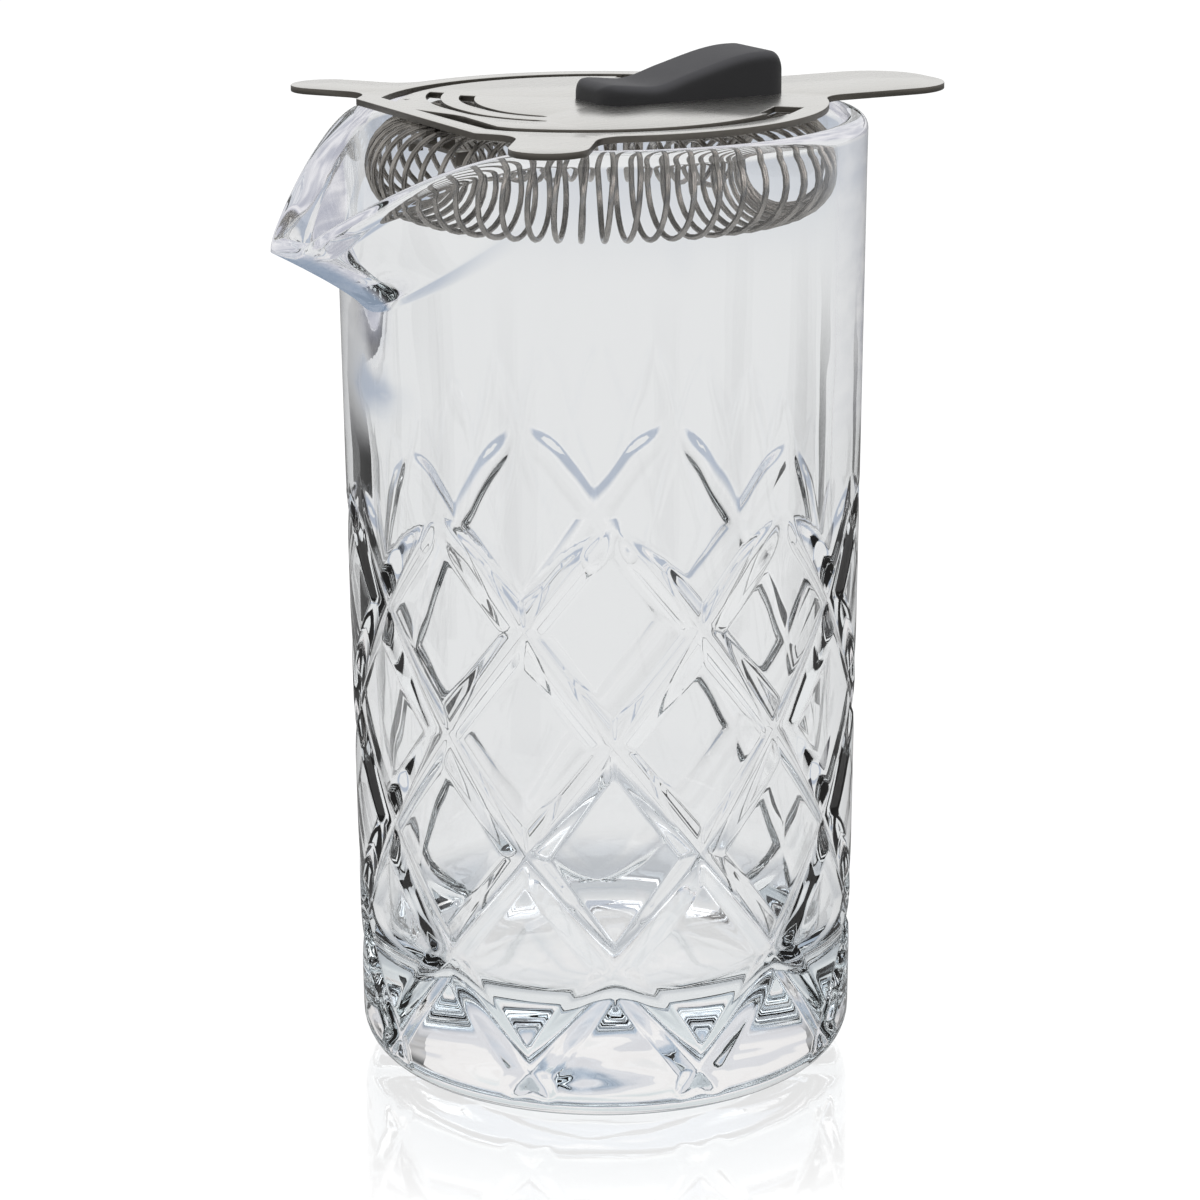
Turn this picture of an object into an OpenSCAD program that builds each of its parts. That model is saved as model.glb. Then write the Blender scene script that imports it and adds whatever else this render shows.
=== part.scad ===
// Mixing glass with a cut diamond lattice and a pulled spout, and the coil strainer that
// lies on its rim. Millimetres, +Z up, origin at the centre of the base, spout towards -X,
// strainer handle towards +X.

/* [Glass] */
// Height of the glass, to the top of its rim
glass_h = 175; // [165:1:190]
// Outer radius just under the rim
rim_r = 47.5; // [46.5:0.25:51]
// Outer radius just above the base corner
base_r = 45.35; // [42:0.25:50]
// Thickness of the wall
wall = 4.8; // [4:0.1:5.2]
// Thickness of the solid base
base_t = 20; // [10:1:30]
// Radius of the corner under the base
foot_corner_r = 8; // [5:0.5:9]
// Radius of the corner between the wall and the floor inside
floor_corner_r = 9; // [4:0.5:12]

/* [Spout] */
// Reach of the pouring lip from the axis of the glass
spout_reach = 65; // [60:1:72]
// Width of the pouring lip
lip_w = 10; // [8:0.5:14]
// Drop of the lip below the rim
lip_drop = 17; // [10:1:20]
// Height at which the keel of the spout leaves the body
keel_z = 144; // [132:1:148]
// Height at which the flanks of the spout leave the body, beside its shoulders
shoulder_z = 162; // [155:1:164]

/* [Cut lattice] */
// Number of diamonds round the glass
diamonds = 9; // [7:1:11]
// Height of the lowest row of crossings
lattice_low_z = 9.4; // [9.2:0.1:14]
// Height of the highest row of crossings
lattice_high_z = 111.4; // [95:0.5:120]
// Depth of the cuts
cut_depth = 1.4; // [0.8:0.1:1.8]

/* [Strainer plate] */
// Thickness of the sheet
sheet_t = 1.2; // [0.8:0.1:1.6]
// Radius of the round part of the plate
plate_r = 42.6; // [41:0.1:45]
// Distance from the plate's centre to its straight pouring edge
pour_edge_x = 34.8; // [34:0.1:37]
// Reach of the two prongs from the plate's centre
prong_reach = 62; // [56:1:66]
// Width of a prong
prong_w = 13.6; // [10:0.2:16]
// Angle of a prong from the pouring direction
prong_angle = 55.5; // [50:0.5:62]
// Reach of the handle from the plate's centre
handle_reach = 71; // [64:1:80]
// Width of the handle
handle_w = 27; // [20:0.5:30]
// Radius of the handle's end corners
handle_corner_r = 11; // [6:0.5:12]
// Radius of the fillets where prongs and handle join the plate
root_fillet_r = 6; // [2:0.5:7]
// Turn of the strainer on the rim, clockwise from above
strainer_turn = 4.6; // [0:0.1:6]
// Shift of the plate across the pouring direction
plate_shift = 4; // [0:0.5:5]

/* [Strainer slots] */
// Width of the long slots that follow the edge
edge_slot_w = 3.6; // [2:0.1:4]
// Distance of the near slot's middle from the pouring edge
edge_slot_inset = 5.3; // [5:0.1:6]
// Distance of the edge slots' middle from the round edge
edge_slot_ring_inset = 6; // [5:0.1:7]
// Distance of the far slot's cut end from the pouring edge
far_slot_inset = 4.6; // [4:0.1:5.6]
// Radius of the outer comma slot's tail
comma_outer_r = 25.2; // [24:0.1:26]
// Radius of the inner comma slot's tail
comma_inner_r = 20; // [18:0.1:20.6]
// Width of a comma slot at its head
comma_w = 3; // [2:0.1:3.4]
// Length of the rectangular window that ends an edge slot
window_l = 9; // [6:0.5:10]
// Width of that window
window_w = 5.4; // [4.2:0.1:5.8]
// Side of the small three-cornered hole
pip_side = 1.4; // [1:0.1:2]

/* [Thumb rest] */
// Length of the thumb rest
rest_l = 37; // [32:0.5:42]
// Width of the thumb rest
rest_w = 16.5; // [13:0.5:19]
// Height of its low end, towards the spout
rest_low_h = 3.5; // [3.2:0.1:5]
// Height of its high end, towards the handle
rest_high_h = 7.8; // [6:0.1:12]
// Place of its low end, measured from the plate's centre towards the spout
rest_front_x = 0.5; // [0:0.5:5]
// Radius of its corners seen from above
rest_corner_r = 4.5; // [3:0.5:6]
// Radius of its upper edges
rest_edge_r = 2; // [1:0.1:2.4]

/* [Coil spring] */
// Diameter of the wire
wire_d = 1; // [0.8:0.05:1.2]
// Outer diameter of a curl
curl_d = 17.4; // [15:0.1:18]
// Number of curls, an odd number so that a gap lies in the middle
curls = 51; // [45:2:55]
// Angle that the spring leaves open under the handle
spring_open_angle = 38; // [30:1:60]

/* [Spring keeper] */
// Thickness of the keeper strip
keeper_t = 0.8; // [0.6:0.1:1]
// Width of the keeper strip
keeper_w = 2.6; // [2:0.1:3]
// Length of the keeper strip
keeper_l = 20; // [14:0.5:20]
// Distance of the strip from the pouring edge
keeper_inset = 1.6; // [1.2:0.1:3]
// Depth of the strip's top below the plate
keeper_drop = 3.6; // [3.5:0.1:5]
// Depth of the lips turned down at its ends
keeper_lip = 1.6; // [1:0.1:3]

/* [Rivets] */
// Radius of a rivet's shank
rivet_r = 1.5; // [1:0.1:2]
// Radius of a rivet's head
rivet_head_r = 3; // [2.4:0.1:4]
// Height of a rivet's head
rivet_head_h = 1; // [0.6:0.1:1.4]
// Distance between the two rivets
rivet_pitch = 20; // [14:0.5:24]

/* [Hidden] */

// clearance between the strainer and what it lies on
seat_gap = 0.3;
// clearance between the spring and the wall of the glass
spring_gap = 0.4;
// clearance round a rivet's shank
rivet_gap = 0.05;
// thickness left over a rivet's blind hole in the thumb rest
rest_skin = 1.4;
// overrun of a cut past a face
over = 1;

// Body of the glass

function outer_r(z) = base_r + (rim_r - base_r) * z / glass_h;
function inner_r(z) = outer_r(z) - wall;
rim_round = wall / 2;
top_r = outer_r(glass_h);
top_inner_r = inner_r(glass_h);

// Spout in plan: two straight flanks, tangent to the rim circle, meet the flat lip.
// The inner flanks lie one wall inside the outer ones.

inner_reach = spout_reach - wall;
inner_lip_w = lip_w - wall;
function corner_angle(reach, w) = atan2(w / 2, reach);
function flank_angle(r, reach, w) = corner_angle(reach, w) + acos(r / norm([reach, w / 2]));
flank = flank_angle(top_r, spout_reach, lip_w);
inner_flank = flank_angle(top_inner_r, inner_reach, inner_lip_w);

function plan_r(phi, r, reach, from) =
    phi >= from ? r : min(r / cos(from - phi), reach / cos(phi));
function outer_plan_r(phi) = plan_r(phi, top_r, spout_reach, flank);
function inner_plan_r(phi) = plan_r(phi, top_inner_r, inner_reach, inner_flank);

// Share of the way along a flank, 0 at the rim circle and 1 at the lip
function flank_share(phi) = phi >= flank ? 0 :
    min(1, tan(flank - phi) / tan(flank - corner_angle(spout_reach, lip_w)));
drop_power = 1.7;
function rim_z(phi) = glass_h - lip_drop * pow(flank_share(phi), drop_power);
join_power = 1.5;
function join_z(phi) = keel_z + (shoulder_z - keel_z) * pow(min(1, phi / flank), join_power);
inner_join_share = 0.75;
function inner_join_z(phi) = join_z(phi) + wall * inner_join_share;

// Grid of the glass: a half diamond is five cells wide and high, a cut is two cells wide

half_cells = 5;
half_rows = 5;
columns = diamonds * 2 * half_cells;
lattice_rows = half_rows * half_cells;
cell_angle = 360 / columns;
cell_z = (lattice_high_z - lattice_low_z) / lattice_rows;
spout_steps = 4;
rim_steps = 4;
corner_steps = 4;
spout_angle = 180;

function wrap(n) = let (m = n - 2 * half_cells * floor(n / (2 * half_cells)))
    min(m, 2 * half_cells - m);
// i counts columns from a peak, j counts rows down from the peaks
function cut_here(i, j) = (wrap(i - j) == 0 || wrap(i + j) == 0) ? cut_depth : 0;

function azimuth(i) = i * cell_angle;
function from_spout(i) = let (a = abs(azimuth(i) - spout_angle)) min(a, 360 - a);
function at(i, r, z) = [r * cos(azimuth(i)), r * sin(azimuth(i)), z];

function foot_point(i, a) = let (z = foot_corner_r * (1 - cos(a)))
    at(i, outer_r(z) - foot_corner_r * (1 - sin(a)), z);
function lattice_point(i, row) = let (z = lattice_low_z + row * cell_z)
    at(i, outer_r(z) - cut_here(i, lattice_rows - row), z);
function outer_spout_point(i, t) =
    let (phi = from_spout(i), z0 = join_z(phi), z1 = rim_z(phi) - rim_round)
    at(i, outer_r(z0) + (outer_plan_r(phi) - outer_r(z0)) * t, z0 + (z1 - z0) * t);
function inner_spout_point(i, t) =
    let (phi = from_spout(i), z0 = inner_join_z(phi), z1 = rim_z(phi) - rim_round)
    at(i, inner_r(z0) + (inner_plan_r(phi) - inner_r(z0)) * t, z0 + (z1 - z0) * t);
function rim_point(i, a) =
    let (phi = from_spout(i), ro = outer_plan_r(phi), ri = inner_plan_r(phi))
    at(i, (ro + ri) / 2 + (ro - ri) / 2 * cos(a), rim_z(phi) - rim_round * (1 - sin(a)));
function floor_point(i, a) = let (z = base_t + floor_corner_r * (1 - cos(a)))
    at(i, inner_r(z) - floor_corner_r * (1 - sin(a)), z);

ring = [0 : columns - 1];
glass_rows = concat(
    [for (k = [0 : corner_steps - 1]) [for (i = ring) foot_point(i, 90 * k / corner_steps)]],
    [for (row = [0 : lattice_rows]) [for (i = ring) lattice_point(i, row)]],
    [[for (i = ring) at(i, outer_r(lattice_high_z + cell_z), lattice_high_z + cell_z)]],
    [for (k = [0 : spout_steps]) [for (i = ring) outer_spout_point(i, k / spout_steps)]],
    [for (k = [1 : rim_steps - 1]) [for (i = ring) rim_point(i, 180 * k / rim_steps)]],
    [for (k = [spout_steps : -1 : 0]) [for (i = ring) inner_spout_point(i, k / spout_steps)]],
    [for (k = [corner_steps : -1 : 0]) [for (i = ring) floor_point(i, 90 * k / corner_steps)]]
);
first_lattice_row = corner_steps;

// The diagonal of a cell follows the nearer cut, so the cuts have straight edges
function follows_rising_cut(i, k) =
    let (j = lattice_rows - (k - first_lattice_row))
    wrap(i + j) < wrap(i + 1 - j);
function cell_faces(k, i) =
    let (n = (i + 1) % columns, a = k * columns + i, b = k * columns + n,
         c = (k + 1) * columns + n, d = (k + 1) * columns + i)
    follows_rising_cut(i, k) ? [[a, c, b], [a, d, c]] : [[a, d, b], [b, d, c]];

module glass_solid() {
    rows = len(glass_rows);
    base_centre = rows * columns;
    floor_centre = base_centre + 1;
    points = concat([for (r = glass_rows, p = r) p], [[0, 0, 0], [0, 0, base_t]]);
    faces = concat(
        [for (k = [0 : rows - 2], i = ring, f = cell_faces(k, i)) f],
        [for (i = ring) [base_centre, i, (i + 1) % columns]],
        [for (i = ring) let (a = (rows - 1) * columns)
            [floor_centre, a + (i + 1) % columns, a + i]]
    );
    polyhedron(points, faces, convexity = 8);
}

module mixing_glass() {
    color([0.86, 0.91, 0.93, 0.5]) glass_solid();
}

// Strainer. Its frame lies on the rim: x from spout to handle, z = 0 at the plate's
// underside. The plate's outline and slots are drawn round the plate's own centre.

plate_z = glass_h + seat_gap;
module strainer_frame() {
    translate([0, 0, plate_z]) rotate([0, 0, -strainer_turn]) children();
}
module plate_frame() {
    strainer_frame() translate([0, plate_shift, 0]) children();
}

// a runs from the pouring direction towards the far side
function pour_polar(r, a) = [-r * cos(a), r * sin(a)];

module prong(side) {
    rotate([0, 0, 180 - side * prong_angle]) {
        translate([0, -prong_w / 2]) square([prong_reach - prong_w / 2, prong_w]);
        translate([prong_reach - prong_w / 2, 0]) circle(d = prong_w, $fn = 32);
    }
}

module handle_shape() {
    hull() {
        translate([0, -handle_w / 2]) square([handle_reach / 2, handle_w]);
        for (s = [-1, 1])
            translate([handle_reach - handle_corner_r, s * (handle_w / 2 - handle_corner_r)])
                circle(r = handle_corner_r, $fn = 40);
    }
}

module plate_blank() {
    offset(r = -root_fillet_r, $fn = 40) offset(delta = root_fillet_r) {
        intersection() {
            circle(r = plate_r, $fn = 120);
            translate([-pour_edge_x, -plate_r]) square(2 * plate_r);
        }
        handle_shape();
        prong(1);
        prong(-1);
    }
}

// A slot whose middle line is r(a) and whose width is w(a), both given at equal steps
module slot(radii, widths, a0, a1) {
    n = len(radii) - 1;
    function a(k) = a0 + (a1 - a0) * k / n;
    polygon(concat(
        [for (k = [0 : n]) pour_polar(radii[k] + widths[k] / 2, a(k))],
        [for (k = [n : -1 : 0]) pour_polar(radii[k] - widths[k] / 2, a(k))]
    ));
}

edge_slot_tip_angle = 12;
edge_slot_end_angle = 128;
slot_steps = 24;
edge_mid_x = pour_edge_x - edge_slot_inset;
edge_mid_r = plate_r - edge_slot_ring_inset;
edge_bend = acos(edge_mid_x / edge_mid_r);
function edge_slot_r(a) = abs(a) < edge_bend ? edge_mid_x / cos(a) : edge_mid_r;

// The near slot starts in a point beside the pouring axis, on the line of its outer side
taper_angle = 20;
module near_edge_slot() {
    a0 = edge_slot_tip_angle;
    a1 = -edge_slot_end_angle;
    angles = [for (k = [0 : slot_steps]) a0 + (a1 - a0) * k / slot_steps];
    function width(a) = edge_slot_w * min(1, (a0 - a) / taper_angle);
    slot([for (a = angles) edge_slot_r(a) + (edge_slot_w - width(a)) / 2],
         [for (a = angles) width(a)], a0, a1);
}

// The far slot starts at an end cut parallel to the pouring edge
module far_edge_slot() {
    steps = [0 : slot_steps];
    intersection() {
        slot([for (k = steps) edge_mid_r], [for (k = steps) edge_slot_w], edge_slot_tip_angle,
             edge_slot_end_angle);
        translate([far_slot_inset - pour_edge_x, 0]) square(2 * plate_r);
    }
}

window_angle = 133;
module end_window(side) {
    rotate([0, 0, 180 - side * window_angle]) translate([edge_mid_r - (window_w - edge_slot_w) / 2, 0])
        square([window_w, window_l], center = true);
}

// A comma slot is narrow from its tail to its middle, then swings outwards and widens to
// its head, which is cut off square
comma_tail_share = 0.5;
comma_outer_swing_share = 0.24;
comma_inner_swing_share = 0.2;
comma_swing_power = 1.5;
comma_outer_angles = [54, -45];
comma_inner_angles = [50, -40];
comma_tip_angle = 6;
module comma_slot(r, angles, swing_share) {
    a0 = angles[0];
    a1 = angles[1];
    steps = [0 : slot_steps];
    function angle(k) = a0 + (a1 - a0) * k / slot_steps;
    function lead(k) = max(0, angle(k) / a0);
    function tip(k) = min(1, comma_tail_share + (angle(k) - a1) / comma_tip_angle);
    slot([for (k = steps) r * (1 + swing_share * pow(lead(k), comma_swing_power))],
         [for (k = steps) comma_w * tip(k)
             * (comma_tail_share + (1 - comma_tail_share) * smooth(lead(k)))], a0, a1);
}

pip_angle = 35;
module pip_hole() {
    translate(pour_polar(edge_mid_r - edge_slot_w / 2 - pip_side, pip_angle))
        circle(r = pip_side / sqrt(3), $fn = 3);
}

// Small relief notches where the pouring edge runs into the prongs
notch_r = 1.3;
notch_share = 0.74;
module root_notches() {
    for (s = [-1, 1])
        translate([-pour_edge_x, s * plate_r * notch_share]) circle(r = notch_r, $fn = 20);
}

rest_middle_x = rest_l / 2 - rest_front_x;
rivet_x = [rest_middle_x - rivet_pitch / 2, rest_middle_x + rivet_pitch / 2];
module at_rivets() {
    plate_frame() for (x = rivet_x) translate([x, 0, 0]) children();
}

module strainer_plate() {
    color([0.80, 0.79, 0.77]) difference() {
        plate_frame() linear_extrude(sheet_t) difference() {
            plate_blank();
            near_edge_slot();
            far_edge_slot();
            end_window(1);
            end_window(-1);
            comma_slot(comma_outer_r, comma_outer_angles, comma_outer_swing_share);
            comma_slot(comma_inner_r, comma_inner_angles, comma_inner_swing_share);
            pip_hole();
            root_notches();
        }
        at_rivets() translate([0, 0, -over])
            cylinder(r = rivet_r + rivet_gap, h = sheet_t + 2 * over, $fn = 32);
    }
}

// Coil spring: one wire wound round a ring that lies inside the mouth

wire_r = wire_d / 2;
curl_r = curl_d / 2 - wire_r;
spring_z = glass_h - curl_d / 2;
spring_r = inner_r(spring_z) - spring_gap - curl_d / 2;
curl_angle = (360 - spring_open_angle) / curls;
rings_per_curl = 8;
wire_sides = 6;
wire_rings = curls * rings_per_curl;

// u counts curls from one end; both ends lie at the top, under the plate
function spring_azimuth(u) = spring_open_angle / 2 + u * curl_angle;
function spring_radial(u) = [cos(spring_azimuth(u)), sin(spring_azimuth(u)), 0];
function curl_normal(u) = spring_radial(u) * cos(90 + 360 * u) + [0, 0, sin(90 + 360 * u)];
function wire_point(u) = spring_radial(u) * spring_r + curl_normal(u) * curl_r
    + [0, 0, spring_z];
wire_step = 0.01;
function wire_along(u) = let (d = wire_point(u + wire_step) - wire_point(u - wire_step)) d / norm(d);
function wire_ring(u) = let (n = curl_normal(u), b = cross(wire_along(u), n))
    [for (s = [0 : wire_sides - 1])
        wire_point(u) + (n * cos(360 * s / wire_sides) + b * sin(360 * s / wire_sides)) * wire_r];

wire_centres = [for (k = [0 : wire_rings]) wire_point(k / rings_per_curl)];
least_gap = min([for (k = [0 : wire_rings - rings_per_curl],
    m = [k + rings_per_curl / 2 : min(wire_rings, k + 2 * rings_per_curl)])
    norm(wire_centres[k] - wire_centres[m])]) - wire_d;
echo(least_gap_between_curls_mm = least_gap);

module coil_spring() {
    n = wire_sides;
    points = [for (k = [0 : wire_rings], p = wire_ring(k / rings_per_curl)) p];
    faces = concat(
        [for (k = [0 : wire_rings - 1], s = [0 : n - 1]) let (t = (s + 1) % n)
            each [[k * n + s, k * n + t, (k + 1) * n + t],
                  [k * n + s, (k + 1) * n + t, (k + 1) * n + s]]],
        [for (s = [1 : n - 2]) [0, s + 1, s]],
        [for (s = [1 : n - 2]) [wire_rings * n, wire_rings * n + s, wire_rings * n + s + 1]]
    );
    color([0.42, 0.40, 0.38]) rotate([0, 0, -strainer_turn])
        polyhedron(points, faces, convexity = 20);
}

// Keeper: a strip inside the spring, hung from the plate by two legs between the curls

keeper_x = -(pour_edge_x - keeper_w - keeper_inset);
leg_y = spring_r * sin(curl_angle);

module spring_keeper() {
    color([0.62, 0.61, 0.60]) strainer_frame() translate([keeper_x, 0, 0]) {
        translate([-keeper_w, -keeper_l / 2, -keeper_drop - keeper_t])
            cube([keeper_w, keeper_l, keeper_t]);
        for (s = [-1, 1]) {
            translate([-keeper_w, s * leg_y - keeper_t / 2, -keeper_drop])
                cube([keeper_w, keeper_t, keeper_drop]);
            translate([-keeper_w, s * (keeper_l - keeper_t) / 2 - keeper_t / 2,
                       -keeper_drop - keeper_t - keeper_lip])
                cube([keeper_w, keeper_t, keeper_lip]);
        }
    }
}

// Thumb rest: a pad that rises towards the handle, with rounded corners and edges

rest_stations = 28;
rest_edge_steps = 4;
rise_start_share = 0.2;
rise_end_share = 0.9;
function smooth(t) = let (c = max(0, min(1, t))) c * c * (3 - 2 * c);
function rest_height(t) = rest_low_h + (rest_high_h - rest_low_h)
    * smooth((t - rise_start_share) / (rise_end_share - rise_start_share));
// how far a corner of radius r cuts in at distance d from the end
function corner_cut(r, d) = d >= r ? 0 : r - sqrt(r * r - (r - d) * (r - d));
function rest_section(t) =
    let (d = rest_l * min(t, 1 - t), b = rest_w / 2 - corner_cut(rest_corner_r, d),
         h = rest_height(t) - corner_cut(rest_edge_r, d), x = rest_l * t - rest_front_x,
         arc = [for (k = [0 : rest_edge_steps]) 90 * k / rest_edge_steps])
    concat(
        [[x, -b, sheet_t]],
        [for (a = arc) [x, -b + rest_edge_r * (1 - cos(a)), sheet_t + h - rest_edge_r * (1 - sin(a))]],
        [for (k = [rest_edge_steps : -1 : 0]) let (a = arc[k])
            [x, b - rest_edge_r * (1 - cos(a)), sheet_t + h - rest_edge_r * (1 - sin(a))]],
        [[x, b, sheet_t]]
    );

module rest_solid() {
    n = 2 * rest_edge_steps + 4;
    shares = [for (k = [0 : rest_stations]) (1 - cos(180 * k / rest_stations)) / 2];
    points = [for (t = shares, p = rest_section(t)) p];
    faces = concat(
        [for (k = [0 : rest_stations - 1], s = [0 : n - 1]) let (t = (s + 1) % n)
            each [[k * n + s, (k + 1) * n + s, (k + 1) * n + t],
                  [k * n + s, (k + 1) * n + t, k * n + t]]],
        [for (s = [1 : n - 2]) [0, s, s + 1]],
        [for (s = [1 : n - 2]) let (a = rest_stations * n) [a, a + s + 1, a + s]]
    );
    polyhedron(points, faces, convexity = 4);
}

rivet_hole_top = sheet_t + rest_low_h - rest_skin;
module thumb_rest() {
    color([0.16, 0.16, 0.17]) difference() {
        plate_frame() rest_solid();
        at_rivets() cylinder(r = rivet_r + rivet_gap, h = rivet_hole_top + rivet_gap, $fn = 32);
    }
}

module rivet() {
    cylinder(r = rivet_r, h = rivet_hole_top, $fn = 32);
    dome_r = (pow(rivet_head_r, 2) + pow(rivet_head_h, 2)) / (2 * rivet_head_h);
    intersection() {
        translate([0, 0, dome_r - rivet_head_h]) sphere(r = dome_r, $fn = 64);
        translate([0, 0, -rivet_head_h]) cylinder(r = rivet_head_r, h = rivet_head_h, $fn = 48);
    }
}

module thumb_rest_rivets() {
    color([0.62, 0.61, 0.60]) at_rivets() rivet();
}

mixing_glass();
strainer_plate();
spring_keeper();
coil_spring();
thumb_rest();
thumb_rest_rivets();
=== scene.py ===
"""Mixing glass cut with diamonds, with a flat coil strainer lying on its mouth.

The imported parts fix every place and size. This script gives them their looks: heavy
cut glass, satin sheet steel, a spring of bright wire and a matte rubber thumb rest.
"""

from math import acos, atan2, cos, hypot, pi, radians, sin, sqrt, tan

import bmesh
import bpy
from bpy.props import FloatProperty, FloatVectorProperty, IntProperty, PointerProperty
from mathutils import Matrix, Vector


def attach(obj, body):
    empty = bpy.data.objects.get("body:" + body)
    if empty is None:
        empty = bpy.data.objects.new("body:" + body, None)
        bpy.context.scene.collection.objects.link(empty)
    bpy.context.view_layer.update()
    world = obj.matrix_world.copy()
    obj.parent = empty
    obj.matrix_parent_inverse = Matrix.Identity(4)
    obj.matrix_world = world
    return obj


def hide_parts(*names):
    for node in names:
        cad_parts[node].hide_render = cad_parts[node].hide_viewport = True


bl_info = {
    "name": "Mixing glass with coil strainer",
    "version": (1, 0, 0),
    "blender": (4, 5, 0),
    "location": "3D View > Sidebar > Mixing glass",
    "description": "Makes a diamond-cut mixing glass and the coil strainer on it",
    "category": "Object",
}

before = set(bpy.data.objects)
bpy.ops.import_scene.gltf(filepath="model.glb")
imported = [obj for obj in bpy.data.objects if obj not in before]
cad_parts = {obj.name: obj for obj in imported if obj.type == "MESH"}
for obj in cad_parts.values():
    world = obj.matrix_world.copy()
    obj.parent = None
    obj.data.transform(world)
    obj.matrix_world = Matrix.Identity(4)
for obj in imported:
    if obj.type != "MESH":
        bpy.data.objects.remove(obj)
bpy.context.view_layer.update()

# Side of the spout, and half the width of a diamond in cells of the grid
SPOUT_ANGLE = pi
HALF_CELLS = 5

# Parts that the round and the bent forms are made in
CORNER_STEPS = 12
SPOUT_STEPS = 24
RIM_STEPS = 14
WALL_STEPS = 8
FLOOR_STEPS = 5
CURL_STEPS = 28
WIRE_SIDES = 12
HEAD_SIDES = 48
HEAD_RINGS = 8
SHANK_SIDES = 32
REST_STEPS = 72
REST_EDGE_STEPS = 10
REST_TOP_STEPS = 10
REST_UNDER_STEPS = 6

# Hollow of the base: share of the way out to the foot, and share of the depth
BASE_HOLLOW = ((0.2, 1.0), (0.5, 1.0), (0.8, 0.96), (0.92, 0.7), (0.965, 0.25), (0.985, 0.03))

# Powers by which the lip drops, the underside rises to the shoulder and the spout leans out,
# and the start of its inside above its outside, in walls
LIP_SWEEP = 1.7
SHOULDER_SWEEP = 1.5
SPOUT_LEAN = 1.2
SPOUT_SOLE = 0.75

# Where a cut starts and runs out, in cells below its peak, the powers of its slope and of its
# ends, how much of its soft edge is trimmed away, and the least distance from the axis
CUT_START = (0.15, 2.1)
CUT_END = (25.0, 26.4)
CUT_SLOPE = 1.6
CUT_TAPER = 0.25
CUT_TRIM = 0.35
AXIS_R = 0.001

# Where the spout's painted glow fades in, in height, fades out beside its keel, and comes on as
# the glass faces down, and the reflections and bounces after which a ray has lost its way and ends
# in painted light
SPOUT_GLOW_RISE = (0.112, 0.122)
KEEL_SIDE = (0.005, 0.0075)
FACING_DOWN = (0.15, 0.55)
LOST_REFLECTIONS = 2.5
LOST_BOUNCES = 7.5

# Edge of a rivet's head, as a share of its height, and how far the shank enters the head
HEAD_EDGE = 0.08
SHANK_OVERLAP = 0.0001

# Where the thumb rest rises, dips and grows its round end: start and length, in lengths
REST_RISE = (0.24, 0.62)
REST_DIP = (0.06, 0.42)
REST_END = (0.5, 0.3)

# Points this near are one, the angles that mark a flat face, a sheared edge and a crease, and
# how upright a face of the sheet is that stays flat in its shading
MERGE_REACH = 0.00001
FLAT_ANGLE = radians(1.5)
SHEARED_ANGLE = radians(50)
CREASE_ANGLE = radians(28)
REST_CREASE = radians(50)
UPRIGHT = 0.999

NODE_SPACING = 180


def length(label, about, default):
    """A size in metres that the user may change."""
    return FloatProperty(name=label, description=about, default=default, min=0, unit="LENGTH",
                         subtype="DISTANCE", precision=5)


def turn(label, about, default):
    """An angle that the user may change."""
    return FloatProperty(name=label, description=about, default=radians(default),
                         unit="ROTATION", subtype="ANGLE")


def share(label, about, default, most=1):
    """A plain number that the user may change."""
    return FloatProperty(name=label, description=about, default=default, min=0, max=most,
                         subtype="FACTOR")


def paint(label, about, default):
    """A colour that the user may change."""
    return FloatVectorProperty(name=label, description=about, default=default, size=3,
                               min=0, max=1, subtype="COLOR")


class GlassSizes(bpy.types.PropertyGroup):
    height: length("Height", "Height of the glass at its rim", 0.175)
    rim_r: length("Rim radius", "Outer radius at the rim", 0.0475)
    base_r: length("Base radius", "Outer radius that the wall would have at the table", 0.04535)
    wall: length("Wall", "Thickness of the wall", 0.0048)
    base_t: length("Base", "Thickness of the base", 0.020)
    base_hollow: length("Base hollow", "How far the underside is hollow inside its foot", 0.0006)
    foot_corner_r: length("Foot corner", "Radius of the outer corner at the foot", 0.008)
    floor_corner_r: length("Floor corner", "Radius of the inner corner at the floor", 0.009)
    spout_reach: length("Spout reach", "Distance of the lip from the axis", 0.065)
    lip_w: length("Lip width", "Width of the straight lip", 0.010)
    lip_drop: length("Lip drop", "How far the lip hangs below the rim", 0.017)
    lip_round: length("Lip corners", "Softening of the two corners of the lip", 0.002)
    keel_z: length("Keel height", "Where the spout leaves the wall under the lip", 0.144)
    shoulder_z: length("Shoulder height", "Where the spout ends at its sides", 0.162)
    diamonds: IntProperty(name="Diamonds", description="Diamonds round the glass", default=9,
                          min=3)
    lattice_low: length("Lowest crossing", "Height of the lowest crossings", 0.0094)
    lattice_high: length("Highest crossing", "Height of the peaks of the cuts", 0.1114)
    cut_depth: length("Cut depth", "Depth of a cut at its middle", 0.0014)
    cut_cells: share("Cut width", "Half width of a cut, in cells of the grid", 1.25, 3)
    cut_edge: length("Cut edge", "Softness of the edge of a cut", 0.00012)
    cells_split: IntProperty(name="Fineness", description="Parts that a cell is split into",
                             default=4, min=1)
    tint: paint("Tint", "Colour that thick glass takes on", (0.50, 0.78, 0.84))
    tint_depth: FloatProperty(name="Tint depth", description="Strength of the tint", default=2.4)
    # Painted light: colours with which the glass itself glows in its spout, standing in for room
    # light there
    spout_painted_light: share("Spout veil", "How much of the room the underside of the spout shows", 0.85)
    spout_painted_under: paint("Spout, below", "Light that the spout's underside shows",
                       (0.19, 0.27, 0.38))
    spout_painted_dark: paint("Spout, darker", "Darker light caught in the spout", (0.50, 0.50, 0.57))
    spout_painted_pale: paint("Spout, paler", "Paler light caught in the spout", (0.84, 0.82, 0.85))
    bend: FloatProperty(name="Refraction", description="Index of refraction", default=1.5)


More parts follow.
